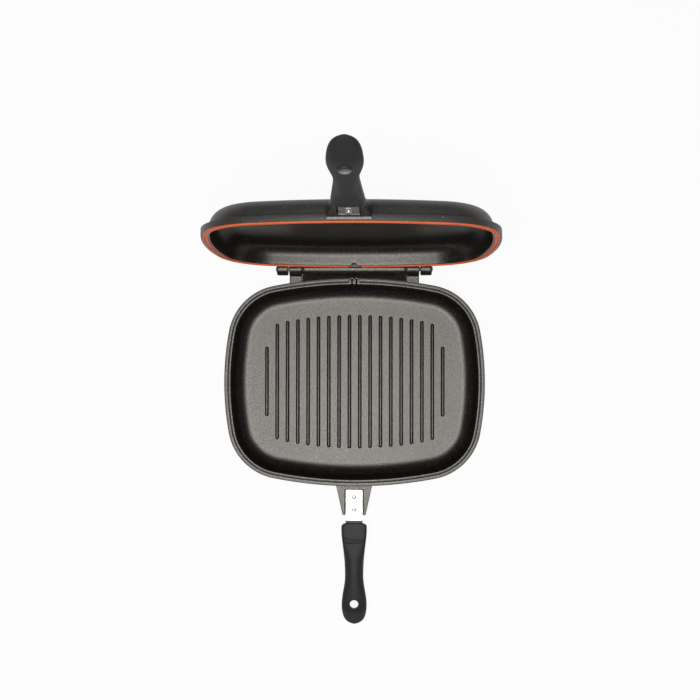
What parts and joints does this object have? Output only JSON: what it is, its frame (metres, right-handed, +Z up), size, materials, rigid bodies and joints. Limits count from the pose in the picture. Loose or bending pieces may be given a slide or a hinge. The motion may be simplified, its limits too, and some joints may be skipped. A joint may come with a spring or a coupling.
{
  "type": "double sided flip pan",
  "caption": "Two cast pan halves on a rear hinge, each with a waisted grip: ribbed base, smooth lid with a two-lipped soft seal that shuts over it.",
  "frame": {"origin": "centre of the flat underside of the base half", "axes": "+X to the right seen from the grip, +Y from the base grip towards the hinge, +Z up"},
  "size_m": [0.32, 0.5057, 0.472],
  "materials": {
    "coated_cast": "dark flecked non-stick coating",
    "steel": "bright plate",
    "pin_steel": "plain",
    "grip_plastic": "soft matt black",
    "seal_rubber": "smooth orange",
    "magnet": "plated",
    "spacer_plastic": "matt black"
  },
  "bodies": {
    "base": {"base_pan": "coated_cast", "base_tang": "steel", "base_rivets": "steel", "base_ferrule": "grip_plastic", "base_grip": "grip_plastic", "base_magnet": "magnet", "base_grip_screw": "pin_steel"},
    "lid": {"lid_pan": "coated_cast", "lid_seal": "seal_rubber", "lid_tang": "steel", "lid_rivets": "steel", "lid_ferrule": "grip_plastic", "lid_grip": "grip_plastic", "lid_magnet": "magnet", "lid_grip_screw": "pin_steel", "hinge_pin_left": "pin_steel", "hinge_pin_right": "pin_steel", "hinge_spacer_left": "spacer_plastic", "hinge_spacer_right": "spacer_plastic", "hinge_plug_left": "pin_steel", "hinge_plug_right": "pin_steel"}
  },
  "joints": [
    {"name": "lid_hinge", "type": "hinge", "parent": "base", "child": "lid", "pos_m": [0, 0.13865, 0.0346], "axis": [1, 0, 0], "range_deg": [0, 94.4]}
  ]
}
